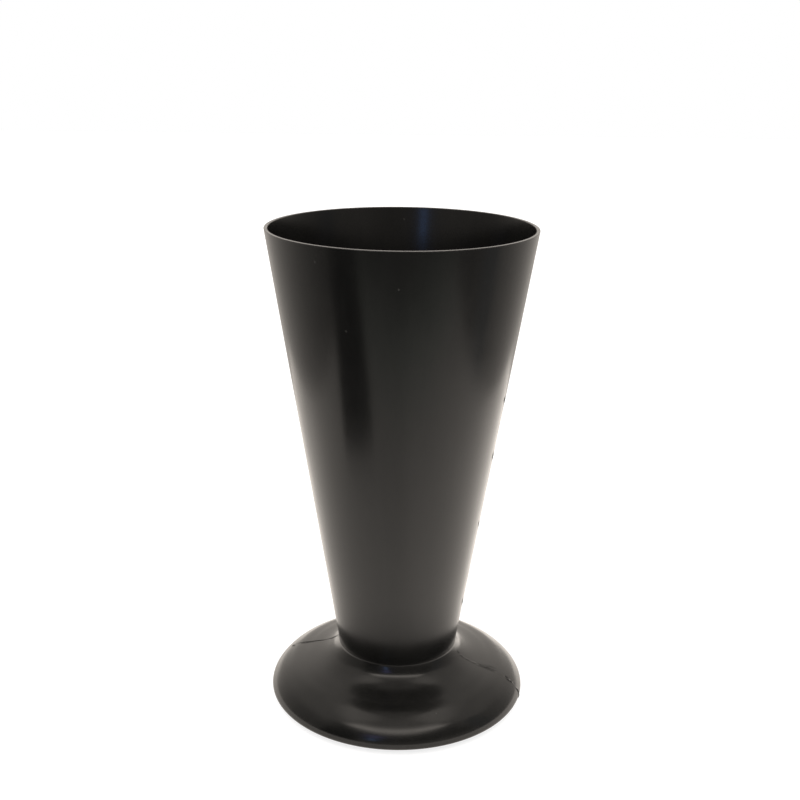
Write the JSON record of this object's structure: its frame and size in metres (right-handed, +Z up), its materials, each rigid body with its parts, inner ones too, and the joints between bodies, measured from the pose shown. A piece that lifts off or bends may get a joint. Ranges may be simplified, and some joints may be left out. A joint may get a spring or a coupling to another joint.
{
  "type": "florist bucket",
  "caption": "Tall black plastic display bucket for cut flowers: an open tapered cone with a cut rim, standing on a hollow spreading foot.",
  "frame": {"origin": "centre of the foot's resting plane, on the bucket's axis", "axes": "+Z up along the bucket's axis, from the foot to the open rim; +X and +Y are free, because the shape is round"},
  "size_m": [0.236, 0.236, 0.44],
  "materials": {
    "cone_plastic": "black, moulded satin gloss",
    "foot_plastic": "black, moulded satin gloss"
  },
  "bodies": {
    "root": {"bucket_cone": "cone_plastic", "hollow_foot": "foot_plastic"}
  },
  "joints": []
}
